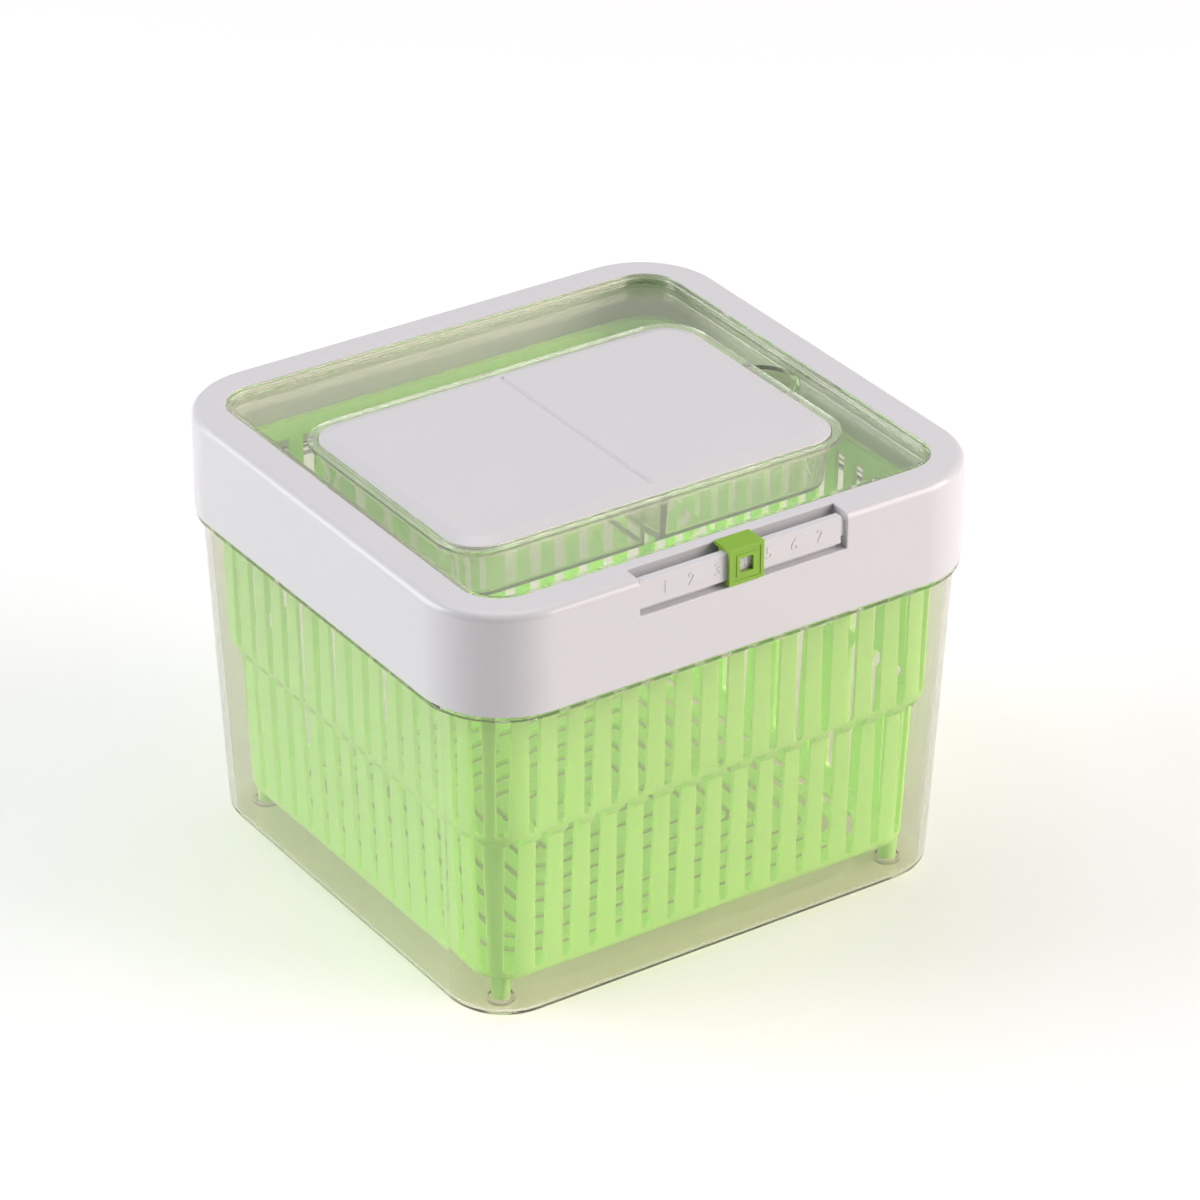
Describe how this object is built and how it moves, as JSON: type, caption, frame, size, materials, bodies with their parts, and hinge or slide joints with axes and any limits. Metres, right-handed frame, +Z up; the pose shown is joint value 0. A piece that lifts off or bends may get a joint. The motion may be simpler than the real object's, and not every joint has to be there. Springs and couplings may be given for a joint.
{
  "type": "produce keeper",
  "caption": "Clear food storage bin with a slotted green basket, a white-framed clear lid, a covered snack tray set in the lid and a sliding day marker.",
  "frame": {"origin": "centre of the bounding box at its lowest level, the underside of the four feet", "axes": "+Z up; +X to the right along the front; the front, with the day marker, faces -Y"},
  "size_m": [0.25, 0.2394, 0.1921],
  "materials": {
    "clear_bin": "clear moulded SAN, gloss",
    "clear_lid": "clear moulded SAN, gloss",
    "green_basket": "translucent polypropylene, satin",
    "white_frame": "white ABS, gloss",
    "green_slider": "green ABS, gloss"
  },
  "bodies": {
    "bin": {"outer_bin": "clear_bin"},
    "basket": {"crisper_basket": "green_basket"},
    "lid": {"lid_frame": "white_frame", "lid_window": "clear_lid", "day_rail": "white_frame"},
    "slider": {"day_slider": "green_slider"},
    "tray": {"snack_tray": "clear_lid"},
    "cover": {"tray_cover": "white_frame"}
  },
  "joints": [
    {"name": "basket_lift", "type": "slide", "parent": "bin", "child": "basket", "axis": [0, 0, 1], "range_m": [0, 0.18]},
    {"name": "lid_lift", "type": "slide", "parent": "basket", "child": "lid", "axis": [0, 0, 1], "range_m": [0, 0.06]},
    {"name": "tray_lift", "type": "slide", "parent": "lid", "child": "tray", "axis": [0, 0, 1], "range_m": [0, 0.05]},
    {"name": "cover_lift", "type": "slide", "parent": "tray", "child": "cover", "axis": [0, 0, 1], "range_m": [0, 0.03]},
    {"name": "day_slide", "type": "slide", "parent": "lid", "child": "slider", "axis": [1, 0, 0], "range_m": [-0.03645, 0.03645]}
  ]
}
